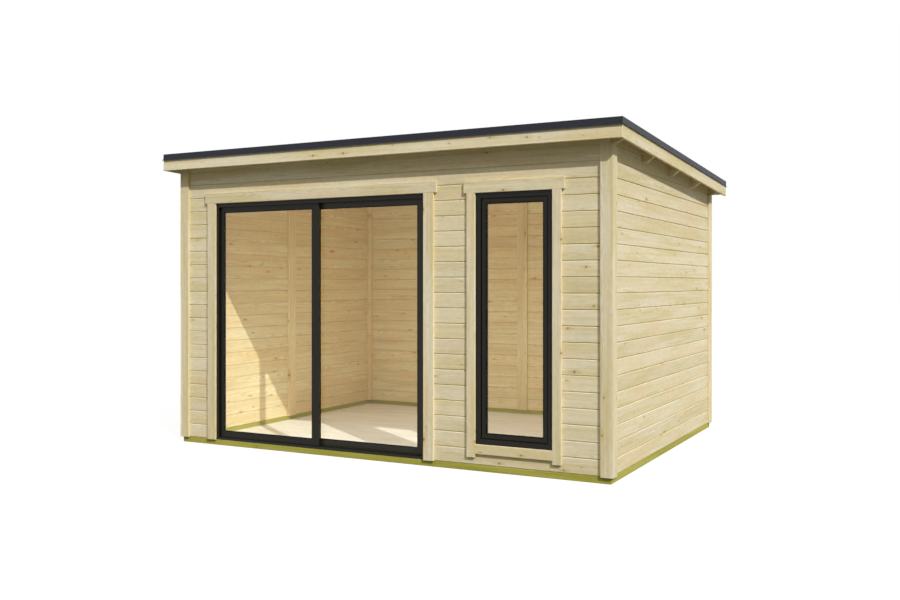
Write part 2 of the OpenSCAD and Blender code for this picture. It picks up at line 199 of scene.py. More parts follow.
def woodFinish(name, look):
    # sawn softwood that follows each board: rings round a pith, streaks, fibres and knots
    finish = Finish(bpy.data.materials.new(name))
    grain = finish.add("ShaderNodeAttribute", {"attribute_name": "grain"}, {}, "Vector")
    luck = finish.add("ShaderNodeAttribute", {"attribute_name": "board"}, {}, "Vector")
    reach = finish.add("ShaderNodeAttribute", {"attribute_name": "reach"}, {}, "Vector")
    along, across, depth = finish.split(grain)
    luckA, luckB, luckC = finish.split(luck)
    spot = finish.vectors("ADD", grain, finish.vectors("MULTIPLY", luck, wood["shuffle"]))

    # knots lie in a loose grid, and only some of its cells have one
    spacing = (wood["knotEvery"], wood["knotRow"], 1.0)
    grid = finish.vectors("DIVIDE", spot, spacing)
    cellSettings = {"voronoi_dimensions": "2D", "feature": "F1"}
    cellValues = {"Vector": grid, "Scale": 1.0, "Randomness": 0.95}
    cell = finish.add("ShaderNodeTexVoronoi", cellSettings, cellValues, "Position")
    chance = Wire(finish, cell.socket.node.outputs["Color"])
    size, present, twist = finish.split(chance)
    strength = twist * (1 - wood["knotFaint"]) + wood["knotFaint"]
    present = finish.fade(present, wood["knotShare"], wood["knotShare"] + 0.01) * strength
    toKnot = finish.vectors("MULTIPLY", finish.vectors("SUBTRACT", grid, cell), spacing)
    aside, over = finish.split(toKnot)[:2]
    radius = wood["knotSmall"] + size * size * (wood["knotLarge"] - wood["knotSmall"])
    wobble = finish.noise(spot, wood["wobble"], 1.0) - 0.5
    away = (aside * aside * 0.8 + over * over) ** 0.5 + wobble * wood["wobbleWidth"]
    drawn = (aside * aside * 0.07 + over * over) ** 0.5
    knot = finish.fade(away, radius, radius * 0.72) * present
    rim = finish.fade(away, radius * 1.35, radius) * (1 - knot) * present
    halo = finish.fade(drawn, radius * 2.9, radius * 0.8) * present

    # rings, seen flat or edge on by where the pith of each board lies
    sway = finish.noise(spot, wood["swayStretch"], 1.0) - 0.5
    lean = finish.noise(spot, wood["leanStretch"], 1.0) - 0.5
    ringAcross = across + (luckB - 0.5) * wood["pithAside"] + sway * wood["sway"] * 2 - over * halo * 0.9
    ringDepth = depth + wood["pithDeep"] + luckC * wood["pithSpread"] + lean * wood["sway"]
    rings = ((ringAcross * ringAcross + ringDepth * ringDepth) ** 0.5) / wood["ringWidth"]
    wave = rings.sum("COSINE", (rings + sway * 2.0) * (2 * math.pi)) * 0.5 + 0.5
    late = wave ** 2.5

    broad = finish.noise(spot, wood["broad"], 1.0)
    streak = finish.noise(spot, wood["streak"], 3.0, 0.6)
    mottle = finish.noise(spot, wood["mottle"], 3.0, 0.65)
    flush = finish.fade(finish.noise(spot, wood["flush"], 2.0, 0.6), 0.48, 0.72)
    fibre = finish.noise(spot, wood["fibre"], 2.0, 0.6)
    edge = finish.split(reach)[1] - across.sum("ABSOLUTE", across)

    shade = finish.fade(broad * 0.5 + streak * 0.5, 0.37, 0.64)
    colour = finish.mix(shade, look["pale"], look["deep"])
    colour = finish.mix(late * look["late"], colour, look["ring"])
    colour = finish.mix(finish.fade(luckA, 0.35, 1.0) * look["spread"], colour, look["warm"])
    colour = finish.mix(flush * look["flushShare"], colour, look["flush"])
    colour = finish.mix(halo * look["halo"], colour, look["glow"])
    colour = finish.mix(rim * 0.75, colour, look["rim"])
    colour = finish.mix(knot * 0.85, colour, look["knot"])
    level = (1.0 - look["spread"] * 0.28 * luckC + (fibre - 0.5) * 0.12 + (mottle - 0.5) * look["mottle"]
             + (1 - finish.fade(edge, 0.0, wood["worn"])) * 0.03)
    colour = finish.scaled(colour, level)
    height = late * 0.45 + fibre * 0.4 + streak * 0.5 - rim * 0.6
    bump = finish.bump(height, look["relief"], 0.6)
    return finish.close(finish.add("ShaderNodeBsdfPrincipled", {}, {
        "Base Color": colour,
        "Roughness": wood["rough"] + streak * wood["roughStreak"] - knot * wood["roughKnot"],
        "Specular IOR Level": look["shine"], "Normal": bump}))


def boardSettings(pale, deep, ring, warm, **more):
    look = {"pale": pale, "deep": deep, "ring": ring, "warm": warm, "late": 0.34, "spread": 0.24,
            "halo": 0.60, "glow": tone(208, 178, 104), "rim": tone(92, 70, 40),
            "knot": tone(128, 98, 58), "relief": 0.0006, "shine": 0.30, "mottle": 0.26,
            "flush": tone(235, 209, 168), "flushShare": 0.45}
    look.update(more)
    return look


spruceOutside = woodFinish("spruceOutside", boardSettings(
    tone(239, 230, 203), tone(224, 210, 163), tone(198, 179, 127), tone(229, 213, 166)))
# The inside copy is the same spruce made paler and warmer: painted warm room light on the faces inside the
# room
spruceWithPaintedRoomLight = woodFinish("spruceWithPaintedRoomLight", boardSettings(
    tone(248, 234, 194), tone(236, 212, 162), tone(207, 174, 116), tone(241, 214, 162),
    glow=tone(208, 166, 96), rim=tone(98, 68, 32), knot=tone(142, 102, 52), late=0.42,
    flush=tone(244, 208, 152)))
greenTimber = woodFinish("impregnatedTimber", boardSettings(
    tone(184, 181, 82), tone(160, 157, 58), tone(132, 128, 42), tone(172, 164, 70),
    glow=tone(150, 140, 60), rim=tone(84, 78, 34), knot=tone(110, 98, 46), relief=0.0009,
    flush=tone(190, 176, 92)))


powder = {
    "shuffle": (7.0, 5.0, 3.0), "peel": (900.0, 900.0, 900.0), "peelHeight": 0.0002,
    "cloud": (2.3, 2.3, 9.0), "dust": (5.0, 30.0, 30.0), "wornFrom": 0.0014, "wornTo": 0.0002,
}


def powderFinish(name, look):
    # powder-coated metal: fine orange peel, slightly worn and dusty along the edges
    finish = Finish(bpy.data.materials.new(name))
    grain = finish.add("ShaderNodeAttribute", {"attribute_name": "grain"}, {}, "Vector")
    reach = finish.add("ShaderNodeAttribute", {"attribute_name": "reach"}, {}, "Vector")
    luck = finish.add("ShaderNodeAttribute", {"attribute_name": "board"}, {}, "Vector")
    spot = finish.vectors("ADD", grain, finish.vectors("MULTIPLY", luck, powder["shuffle"]))
    peel = finish.noise(spot, powder["peel"], 2.0)
    cloud = finish.noise(spot, powder["cloud"], 3.0, 0.6)
    dust = finish.fade(finish.noise(spot, powder["dust"], 4.0, 0.7), 0.5, 0.78)
    toEdge = finish.vectors("SUBTRACT", reach, finish.vectors("ABSOLUTE", grain, (0, 0, 0)))
    worn = finish.fade(finish.split(toEdge)[1], powder["wornFrom"], powder["wornTo"])
    worn = worn * 0.5 + finish.fade(peel, 0.35, 0.7) * 0.08
    colour = finish.mix(cloud, look["dark"], look["light"])
    colour = finish.mix(worn * look["wear"], colour, look["edge"])
    colour = finish.mix(dust * look["dust"], colour, look["dustTone"])
    return finish.close(finish.add("ShaderNodeBsdfPrincipled", {}, {
        "Base Color": colour, "Roughness": look["rough"] + cloud * 0.08 + dust * 0.12,
        "Metallic": look["metal"], "Specular IOR Level": look["shine"],
        "Normal": finish.bump(peel, powder["peelHeight"], 0.25)}))


aluminium = powderFinish("anthraciteAluminium", {
    "dark": tone(21, 19, 12), "light": tone(27, 25, 17), "edge": tone(56, 54, 46), "wear": 0.4,
    "dust": 0.05, "dustTone": tone(84, 79, 66), "rough": 0.30, "metal": 0.0, "shine": 0.23})
roofMetal = powderFinish("roofEdgeMetal", {
    "dark": tone(40, 43, 51), "light": tone(47, 50, 58), "edge": tone(92, 94, 101), "wear": 0.4,
    "dust": 0.06, "dustTone": tone(112, 110, 105), "rough": 0.42, "metal": 0.0, "shine": 0.15})


steel = {
    "brush": (60.0, 900.0, 60.0), "cloud": (40.0, 40.0, 40.0),
    "dark": tone(150, 152, 153), "light": tone(186, 188, 188), "rough": 0.30,
}


def steelFinish():
    # plated steel with fine turning marks
    finish = Finish(bpy.data.materials.new("zincSteel"))
    spot = finish.add("ShaderNodeTexCoord", {}, {}, "Object")
    brush = finish.noise(spot, steel["brush"], 3.0, 0.6)
    cloud = finish.noise(spot, steel["cloud"], 3.0, 0.6)
    colour = finish.mix(cloud, steel["dark"], steel["light"])
    return finish.close(finish.add("ShaderNodeBsdfPrincipled", {}, {
        "Base Color": colour, "Metallic": 1.0, "Roughness": steel["rough"] + brush * 0.22,
        "Normal": finish.bump(brush, 0.0001, 0.3)}))


def rubberFinish(name, dark, light, rough, shine):
    # dull extruded rubber or plastic
    finish = Finish(bpy.data.materials.new(name))
    spot = finish.add("ShaderNodeTexCoord", {}, {}, "Object")
    speck = finish.noise(spot, (700.0, 700.0, 700.0), 2.0, 0.6)
    cloud = finish.noise(spot, (3.0, 3.0, 3.0), 4.0, 0.6)
    colour = finish.mix(cloud * 0.7 + speck * 0.3, dark, light)
    return finish.close(finish.add("ShaderNodeBsdfPrincipled", {}, {
        "Base Color": colour, "Roughness": rough + (cloud - 0.5) * 0.2,
        "Specular IOR Level": shine, "Normal": finish.bump(speck, 0.0003, 0.3)}))


membrane = {
    "grit": (420.0, 420.0, 420.0), "cloud": (1.7, 1.1, 1.7), "trail": (7.0, 0.5, 1.0),
    "dark": tone(62, 63, 65), "light": tone(80, 81, 82), "trailTone": tone(104, 103, 98),
    "gritTone": tone(112, 112, 110), "rough": 0.84, "shine": 0.18,
}


def coveringFinish():
    # roofing membrane: matt, with a faint scatter of grit and paler trails where water runs
    finish = Finish(bpy.data.materials.new("roofMembrane"))
    spot = finish.add("ShaderNodeTexCoord", {}, {}, "Object")
    grit = finish.noise(spot, membrane["grit"], 3.0, 0.7)
    cloud = finish.noise(spot, membrane["cloud"], 4.0, 0.6)
    trail = finish.fade(finish.noise(spot, membrane["trail"], 3.0, 0.6), 0.48, 0.75)
    colour = finish.mix(cloud, membrane["dark"], membrane["light"])
    colour = finish.mix(trail * 0.30, colour, membrane["trailTone"])
    colour = finish.mix(finish.fade(grit, 0.55, 0.75) * 0.45, colour, membrane["gritTone"])
    return finish.close(finish.add("ShaderNodeBsdfPrincipled", {}, {
        "Base Color": colour, "Roughness": membrane["rough"] + trail * 0.08,
        "Specular IOR Level": membrane["shine"], "Normal": finish.bump(grit, 0.0008, 0.5)}))


panels = {
    "streak": (2.2, 26.0, 1.0), "cloud": (1.6, 2.2, 1.0), "vein": (1.2, 9.0, 1.0),
    "speck": (500.0, 500.0, 500.0), "pale": tone(245, 240, 233), "deep": tone(233, 226, 215),
    "veinTone": tone(219, 209, 192), "rough": 0.46, "shine": 0.3,
}


def panelFinish():
    # pale floor panels with soft streaks along the house
    finish = Finish(bpy.data.materials.new("floorPanels"))
    spot = finish.add("ShaderNodeTexCoord", {}, {}, "Object")
    streak = finish.noise(spot, panels["streak"], 4.0, 0.62)
    cloud = finish.noise(spot, panels["cloud"], 3.0, 0.55)
    vein = finish.fade(finish.noise(spot, panels["vein"], 4.0, 0.7), 0.50, 0.66)
    speck = finish.noise(spot, panels["speck"], 2.0, 0.6)
    shade = finish.fade(streak * 0.5 + cloud * 0.5, 0.36, 0.64)
    colour = finish.mix(shade, panels["pale"], panels["deep"])
    colour = finish.mix(vein * 0.55, colour, panels["veinTone"])
    colour = finish.scaled(colour, 0.97 + speck * 0.06)
    return finish.close(finish.add("ShaderNodeBsdfPrincipled", {}, {
        "Base Color": colour, "Roughness": panels["rough"] + streak * 0.16,
        "Specular IOR Level": panels["shine"],
        "Normal": finish.bump(speck * 0.5 + streak, 0.0003, 0.3)}))


paneLook = {"tint": (0.951, 0.970, 0.960, 1.0), "bend": 1.45, "mirror": 0.90, "rough": 0.02}


def glassFinish():
    # a clear glass unit that lets the lamps through, with a weak reflection
    finish = Finish(bpy.data.materials.new("clearGlass"))
    fresnel = finish.add("ShaderNodeFresnel", {}, {"IOR": paneLook["bend"]})
    behind = finish.add("ShaderNodeNewGeometry", {}, {}, "Backfacing")
    clear = finish.add("ShaderNodeBsdfTransparent", {}, {"Color": paneLook["tint"]})
    gloss = finish.add("ShaderNodeBsdfGlossy", {}, {"Color": white, "Roughness": paneLook["rough"]})
    share = fresnel * (1 - behind) * paneLook["mirror"]
    return finish.close(finish.add("ShaderNodeMixShader", {}, {0: share, 1: clear, 2: gloss}))


zincSteel = steelFinish()
# near-black rubber, which on the glazing also stands in for the shaded reveal at the glass edge: painted
# shade
gasketRubberAndShadeStrip = rubberFinish("gasketRubberAndShadeStrip", tone(9, 9, 9), tone(15, 15, 14), 0.7, 0.06)
spacerFinish = rubberFinish("spacerBar", tone(12, 12, 13), tone(20, 20, 21), 0.5, 0.2)
roofMembrane = coveringFinish()
floorPanels = panelFinish()
clearGlass = glassFinish()
print("finishes made")


def looseParts(shell):
    # the separate solids in a mesh, as lists of its vertices
    seen, parts = set(), []
    for first in shell.verts:
        if first in seen:
            continue
        seen.add(first)
        part, edgeOut = [first], [first]
        while edgeOut:
            for edge in edgeOut.pop().link_edges:
                for vertex in edge.verts:
                    if vertex not in seen:
                        seen.add(vertex)
                        part.append(vertex)
                        edgeOut.append(vertex)
        parts.append(part)
    return parts


def span(spots, axes):
    # the lowest and highest reach of some points along three axes
    sizes = [[spot.dot(axis) for spot in spots] for axis in axes]
    return [min(size) for size in sizes], [max(size) for size in sizes]


class Pile:
    # solids collected into one piece, each with its own grain and luck
    def __init__(self, name):
        self.name, self.chance = name, random.Random(name)
        self.points, self.faces, self.picks = [], [], []
        self.grain, self.board, self.reach = [], [], []

    def newLuck(self):
        return [self.chance.random() for _ in range(3)]

    def add(self, shell, axes=worldAxes, home=None, luck=None, pick=None):
        # home is (centre, axes, half sizes) where the grain doesn't come from the solid's own box
        bmesh.ops.recalc_face_normals(shell, faces=shell.faces)
        for part in looseParts(shell):
            spots = [vertex.co for vertex in part]
            low, high = span(spots, axes)
            order = sorted(range(3), key=lambda n: low[n] - high[n])
            centre = [(low[n] + high[n]) / 2 for n in order]
            ways, half = [axes[n] for n in order], [(high[n] - low[n]) / 2 for n in order]
            if home:
                centre, ways, half = home
            partLuck = luck or self.newLuck()
            for vertex in part:
                vertex.index = len(self.points)
                self.points.append(vertex.co[:])
                self.grain += [vertex.co.dot(way) - middle for way, middle in zip(ways, centre)]
                self.board += partLuck
                self.reach += half
        for face in shell.faces:
            self.faces.append([vertex.index for vertex in face.verts])
            self.picks.append(pick(face) if pick else 0)
        shell.free()

    def build(self, finishes, body, slot, *nodes):
        mesh = bpy.data.meshes.new(self.name)
        mesh.from_pydata(self.points, [], self.faces)
        for name, values in (("grain", self.grain), ("board", self.board), ("reach", self.reach)):
            mesh.attributes.new(name, "FLOAT_VECTOR", "POINT").data.foreach_set("vector", values)
        for finish in finishes:
            mesh.materials.append(finish)
        mesh.polygons.foreach_set("material_index", self.picks)
        mesh.update()
        piece = bpy.data.objects.new(self.name, mesh)
        scene.collection.objects.link(piece)
        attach(piece, body)
        if nodes:
            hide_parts(*nodes)
        return piece


meshing = {"weld": 2e-5, "flatWithin": math.radians(1), "sharpFrom": 0.3, "onPlane": 1e-6,
           "timberRounds": 3, "metalRounds": 2, "glassRounds": 1}


def solidOf(node):
    # a CAD node's solids with whole flat faces
    shell = bmesh.new()
    shell.from_mesh(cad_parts[node].data)
    bmesh.ops.remove_doubles(shell, verts=shell.verts, dist=meshing["weld"])
    bmesh.ops.dissolve_limit(shell, angle_limit=meshing["flatWithin"], verts=shell.verts, edges=shell.edges)
    return shell


def ease(shell, width, segments):
    # rounds the arrises of a solid
    sharp = [edge for edge in shell.edges
             if edge.is_manifold and edge.calc_face_angle() > meshing["sharpFrom"]]
    bmesh.ops.bevel(shell, geom=sharp, offset=width, offset_type="OFFSET", segments=segments,
                    profile=0.5, affect="EDGES", clamp_overlap=True)


def score(shell, point, normal):
    # a line of edges where a finish changes
    bmesh.ops.bisect_plane(shell, geom=[*shell.verts, *shell.edges, *shell.faces],
                           plane_co=point, plane_no=normal, dist=meshing["onPlane"])


def saw(shell, point, normal):
    # cuts off what lies beyond a plane and closes the cut
    cut = bmesh.ops.bisect_plane(shell, geom=[*shell.verts, *shell.edges, *shell.faces],
                                 plane_co=point, plane_no=normal, clear_outer=True,
                                 dist=meshing["onPlane"])
    rim = [item for item in cut["geom_cut"] if isinstance(item, bmesh.types.BMEdge)]
    if rim:
        bmesh.ops.contextual_create(shell, geom=rim)


def prism(section, start, end, place):
    # a flat outline drawn out between two stations; place gives the spot of (station, first, second)
    shell = bmesh.new()
    ends = [[shell.verts.new(place(station, *pair)) for pair in section] for station in (start, end)]
    shell.faces.new(ends[0])
    shell.faces.new(ends[1][::-1])
    count = len(section)
    for n in range(count):
        shell.faces.new((ends[0][n], ends[1][n], ends[1][(n + 1) % count], ends[0][(n + 1) % count]))
    return shell


def ring(section, low, high):
    # a bar bent round an upright rectangle with mitred corners; section is in (inset, y)
    shell = bmesh.new()
    turns = []
    for sideX, sideZ in ((0, 0), (1, 0), (1, 1), (0, 1)):
        turns.append([shell.verts.new((high.x - inset if sideX else low.x + inset, y,
                                       high.z - inset if sideZ else low.z + inset))
                      for inset, y in section])
    count = len(section)
    for turn in range(4):
        here, there = turns[turn], turns[(turn + 1) % 4]
        for n in range(count):
            shell.faces.new((here[n], there[n], there[(n + 1) % count], here[(n + 1) % count]))
    return shell


# Wall boards: one board high per course, tongued together with a small joint on both faces
wallBoards = {
    "cover": 0.114, "outerVee": 0.0045, "innerVee": 0.0035, "outerGap": 0.0022, "innerGap": 0.0017,
    "tongueAt": 0.008, "innerFrom": 0.005, "innerFacing": 0.3,
}


def boardSection(thick, rise, low, high):
    # the outline of a board that rises so far, as (depth behind the outer face, height), kept
    # between two heights
    vee, slim, tongue = wallBoards["outerVee"], wallBoards["innerVee"], wallBoards["tongueAt"]
    gap, slit = wallBoards["outerGap"], wallBoards["innerGap"]
    hair = 1e-7
    outline = [(0, vee + gap), (vee, gap), (tongue, gap), (tongue, 0), (thick - tongue, 0),
               (thick - tongue, slit), (thick - slim, slit), (thick, slim + slit),
               (thick, rise - slim), (thick - slim, rise), (vee, rise), (0, rise - vee)]
    for limit, side in ((low, 1), (high, -1)):
        kept = []
        for (depthA, heightA), (depthB, heightB) in zip(outline, outline[1:] + outline[:1]):
            beyondA, beyondB = (heightA - limit) * side, (heightB - limit) * side
            if beyondA >= -hair:
                kept.append((depthA, heightA))
            if (beyondA > hair and beyondB < -hair) or (beyondA < -hair and beyondB > hair):
                share = beyondA / (beyondA - beyondB)
                kept.append((depthA + (depthB - depthA) * share, limit))
        outline = kept
    return outline


def same(first, second):
    return all(abs(one - other) < touching / 10 for one, other in zip(first, second))


def layBoards(name, nodes, areas, outer, way, inward, roofCut=None):
    # areas are (from, to, low, high) along the wall; way is the wall's direction
    pile = Pile(name)
    cover, top = wallBoards["cover"], max(area[3] for area in areas)
    courses = round((top - wallFoot) / cover)
    for course in range(courses):
        # the last course takes up what the boards' cover leaves over
        foot = wallFoot + course * cover
        rise = top - foot if course == courses - 1 else cover
        stretches = []
        for start, end, low, high in sorted(areas):
            low, high = max(low, foot), min(high, foot + rise)
            if high - low < touching:
                continue
            if stretches and same(stretches[-1][1:], (start, low, high)):
                stretches[-1][1] = end
            else:
                stretches.append([start, end, low, high])
        luck, before = pile.newLuck(), None
        for start, end, low, high in stretches:
            if before is not None and start - before > touching / 10:
                luck = pile.newLuck()
            before = end
            shell = prism(boardSection(wallThick, rise, low - foot, high - foot), start, end,
                          lambda station, depth, height: outer + way * station + inward * depth
                          + worldAxes[2] * (foot + height))
            if roofCut:
                saw(shell, *roofCut)
            centre = outer + inward * (wallThick / 2) + worldAxes[2] * (foot + rise / 2)
            ways = (way, worldAxes[2], inward)
            home = ([centre.dot(axis) for axis in ways], ways, [(end - start) / 2, rise / 2, wallThick / 2])
            # inner faces take the second finish, the spruce copy with painted warm room light
            pile.add(shell, home=home, luck=luck,
                     pick=lambda face: int(
                         (face.calc_center_median() - centre).dot(inward) > wallBoards["innerFrom"]
                         and face.normal.dot(inward) > wallBoards["innerFacing"]))
    return pile.build([spruceOutside, spruceWithPaintedRoomLight], "house", "wall_boards", *nodes)


def partBoxes(node):
    # the box of each separate solid in a CAD node
    shell = solidOf(node)
    boxes = [span([vertex.co for vertex in part], worldAxes) for part in looseParts(shell)]
    shell.free()
    return boxes


frontNodes = ["front_wall_left", "front_wall_middle", "front_wall_right", "front_wall_over_door",
              "front_wall_at_window"]
frontAreas = [(low[0], high[0], low[2], high[2]) for node in frontNodes for low, high in partBoxes(node)]
layBoards("frontWallBoards", frontNodes, frontAreas,
          Vector((0, frontFace, 0)), worldAxes[0], worldAxes[1])
layBoards("backWallBoards", ["back_wall"], [(leftInner, rightInner, wallFoot, backPlateFoot)],
          Vector((0, backFace, 0)), worldAxes[0], -worldAxes[1])
sideAreas = [(frontFace, backFace, wallFoot, backPlateFoot),
             (frontFace, backInner, backPlateFoot, frontPlateFoot),
             (frontInner, backFace, frontPlateFoot, wallTop)]
roofCut = (Vector((0, frontFace, wallTop)), roofAxes[2])
layBoards("leftWallBoards", ["left_wall"], sideAreas,
          Vector((leftFace, 0, 0)), worldAxes[1], worldAxes[0], roofCut)
layBoards("rightWallBoards", ["right_wall"], sideAreas,
          Vector((rightFace, 0, 0)), worldAxes[1], -worldAxes[0], roofCut)
print("wall boards laid")


def roomSide(face):
    # the second finish, the spruce copy with painted room light, where a face is inside the room
    return int(inRoom(face.calc_center_median()))


def timberPiece(name, node, finishes, slot, easing, axes=worldAxes, joints=(), scores=()):
    # boards and beams from a CAD node, with eased arrises and their own grain
    pile = Pile(name)
    shell = solidOf(node)
    for point, normal in joints:
        first = shell.copy()
        saw(first, point, normal)
        saw(shell, point, -normal)
        ease(first, easing, meshing["timberRounds"])
        pile.add(first, axes)
    ease(shell, easing, meshing["timberRounds"])
    for point, normal in scores:
        score(shell, point, normal)
    pile.add(shell, axes, pick=roomSide if len(finishes) > 1 else None)
    return pile.build(finishes, "house", slot, node)


# Beams under the walls. The front beam is butted under the door's right jamb
beams = {"easing": 0.0025, "buttX": 0.450, "slot": "impregnated_wood"}
timberPiece("frontBeam", "base_beam_front", [greenTimber], beams["slot"], beams["easing"],
            joints=[(worldAxes[0] * beams["buttX"], worldAxes[0])])
timberPiece("backBeam", "base_beam_back", [greenTimber], beams["slot"], beams["easing"])
timberPiece("sideBeams", "base_beams_side", [greenTimber], beams["slot"], beams["easing"])

# Planed cover boards, fascias and inside timber
coverBoards = {
    "easing": 0.0028,
    "nodes": {"frontCornerBoards": "front_corner_boards", "backCornerBoards": "back_corner_boards",
              "sideCornerBoards": "side_corner_boards", "doorSideBoards": "door_jamb_trims",
              "doorHeadBoard": "door_header_trim", "windowSideBoards": "window_jamb_trims",
              "windowHeadBoard": "window_header_trim", "windowSillBoard": "window_sill_trim"}}
for name, node in coverBoards["nodes"].items():
    timberPiece(name, node, [spruceOutside], "cover_boards", coverBoards["easing"])
roofTimber = {
    "easing": 0.0028,
    "fascias": {"frontFascia": "fascia_front", "backFascia": "fascia_back", "sideFascias": "fascia_sides"}}
for name, node in roofTimber["fascias"].items():
    timberPiece(name, node, [spruceOutside], "cover_boards", roofTimber["easing"], roofAxes)
roomEdges = [((leftInner, 0, 0), (1, 0, 0)), ((rightInner, 0, 0), (1, 0, 0)),
             ((0, frontInner, 0), (0, 1, 0)), ((0, backInner, 0), (0, 1, 0))]
timberPiece("purlinTimbers", "purlins", [spruceOutside, spruceWithPaintedRoomLight], "inner_timber",
            roofTimber["easing"], scores=roomEdges[:2])
timberPiece("cornerPosts", "corner_posts", [spruceWithPaintedRoomLight], "inner_timber", coverBoards["easing"])
timberPiece("jointBattens", "wall_battens", [spruceWithPaintedRoomLight], "inner_timber", coverBoards["easing"])
print("beams, cover boards and timbers cut")


# Roof boards run down the slope, with a joint on their underside
roofBoards = {"cover": 0.096, "vee": 0.003}


def onRoof(across, down, out):
    return roofAxes[0] * across + roofAxes[1] * down + roofAxes[2] * out


def layRoofBoards():
    pile = Pile("roofBoards")
    (left, top, low), (right, bottom, high) = span(corners("roof_deck"), roofAxes)
    vee, start = roofBoards["vee"], left
    while start < right - touching:
        end = min(start + roofBoards["cover"], right)
        outline = [(start + vee, low), (end - vee, low), (end, low + vee), (end, high), (start, high),
                   (start, low + vee)]
        shell = prism(outline, top, bottom, lambda station, across, out: onRoof(across, station, out))
        for point, normal in roomEdges[2:]:
            score(shell, point, normal)
        pile.add(shell, roofAxes, pick=roomSide)
        start = end
    return pile.build([spruceOutside, spruceWithPaintedRoomLight], "house", "roof_boards", "roof_deck")


layRoofBoards()

# The covering is laid in lengths across the roof, each lapping over the one below it
covering = {"length": 1.05, "shortest": 0.3, "thin": 0.0022, "lap": 0.10, "rise": 0.012,
            "drop": 0.0005, "border": 0.08}


def layCovering():
    pile = Pile("roofCovering")
    (left, top, low), (right, bottom, high) = span(corners("roof_covering"), roofAxes)
    line, seam = [(top, high)], top + covering["length"]
    while seam < bottom - covering["shortest"]:
        line += [(seam, high), (seam + covering["drop"], low + covering["thin"])]
        following = min(seam + covering["length"], bottom)
        if following > bottom - covering["shortest"]:
            following = bottom
        start = following - (covering["border"] if following == bottom else covering["lap"])
        line += [(start, low + covering["thin"]), (start + covering["rise"], high)]
        seam += covering["length"]
    line += [(bottom, high)]
    outline = [(top, low)] + line + [(bottom, low)]
    pile.add(prism(outline, left, right, onRoof), roofAxes)
    return pile.build([roofMembrane], "house", "roof_covering", "roof_covering")


layCovering()
print("roof boards and covering laid")


arrises = {"profile": 0.0006, "folded": 0.0004, "roller": 0.0003, "window": 0.0008, "floor": 0.0008}


def profilePiece(name, node, finish, body, slot, easing=arrises["profile"], axes=worldAxes):
    # a folded, extruded or turned part from a CAD node, with fine arrises
    pile = Pile(name)
    shell = solidOf(node)
    ease(shell, easing, meshing["metalRounds"])
    pile.add(shell, axes)
    return pile.build([finish], body, slot, node)


edgeTrims = {"frontRoofEdge": "edge_trim_front", "backRoofEdge": "edge_trim_back",
             "sideRoofEdges": "edge_trim_sides"}
for name, node in edgeTrims.items():
    profilePiece(name, node, roofMetal, "house", "roof_edge", arrises["folded"], roofAxes)
doorFrame = {"doorJambs": "door_jambs", "doorHead": "door_head", "doorSill": "door_sill"}
for name, node in doorFrame.items():
    profilePiece(name, node, aluminium, "house", "dark_frame")
for side in ("left", "right"):
    body = side + "_leaf"
    profilePiece(side + "LeafStiles", body + "_stiles", aluminium, body, "dark_frame")
    profilePiece(side + "LeafRails", body + "_rails", aluminium, body, "dark_frame")
    profilePiece(side + "LeafFittings", body + "_fittings", zincSteel, body, "fittings", arrises["roller"])
profilePiece("windowFrame", "window_frame", aluminium, "house", "dark_frame", arrises["window"])
profilePiece("windowSash", "window_sash", aluminium, "house", "dark_frame", arrises["window"])
profilePiece("roomFloor", "floor", floorPanels, "house", "floor_panels", arrises["floor"])

# Sealed units: the clear pane, the spacer bar in its edge, and a gasket on each face. The black gaskets are
# widened so that they also paint the shaded reveal round the glass: part rubber, part painted shade
glazing = {
    "arris": 0.0005, "sheet": 0.004, "spacerFrom": 0.003, "spacerTo": 0.0130, "spacerTurn": 0.001,
    "bite": 0.012, "gasketProud": 0.0016, "doorGasketAndShadeStrip": 0.005, "windowGasketAndShadeStrip": 0.006,
}


def sealedUnit(name, node, body, wide):
    low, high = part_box(node)
    pane = Pile(name + "Pane")
    outline = [(low.x, low.z), (high.x, low.z), (high.x, high.z), (low.x, high.z)]
    shell = prism(outline, low.y, high.y, lambda station, across, up: Vector((across, station, up)))
    ease(shell, glazing["arris"], meshing["glassRounds"])
    pane.add(shell)
    pane.build([clearGlass], body, "glass", node)
    spacer = Pile(name + "Spacer")
    inner, outer = low.y + glazing["sheet"], high.y - glazing["sheet"]
    start, end, turn = glazing["spacerFrom"], glazing["spacerTo"], glazing["spacerTurn"]
    spacer.add(ring([(start, inner), (end - turn, inner), (end, inner + turn), (end, outer - turn),
                     (end - turn, outer), (start, outer)], low, high))
    spacer.build([spacerFinish], body, "fittings")
    # each gasket is wider than the rubber alone, to paint the shaded reveal round the glass
    gaskets = Pile(name + "Gaskets")
    bite, proud = glazing["bite"], glazing["gasketProud"]
    for face, out in ((low.y, -1), (high.y, 1)):
        section = [(bite, face), (bite + wide, face), (bite + wide * 0.9, face + out * proud * 0.6),
                   (bite + wide * 0.5, face + out * proud), (bite, face + out * proud)]
        gaskets.add(ring(section, low, high))
    gaskets.build([gasketRubberAndShadeStrip], body, "dark_frame")


sealedUnit("leftLeaf", "left_leaf_glass", "left_leaf", glazing["doorGasketAndShadeStrip"])
sealedUnit("rightLeaf", "right_leaf_glass", "right_leaf", glazing["doorGasketAndShadeStrip"])
sealedUnit("window", "window_glass", "house", glazing["windowGasketAndShadeStrip"])
print("door, window and roof edge made")

# Pins that hold the cover boards
pins = {"radius": 0.0022, "crown": 0.6, "proud": 0.0003, "every": 0.46, "fromEnd": 0.05, "sides": 10}


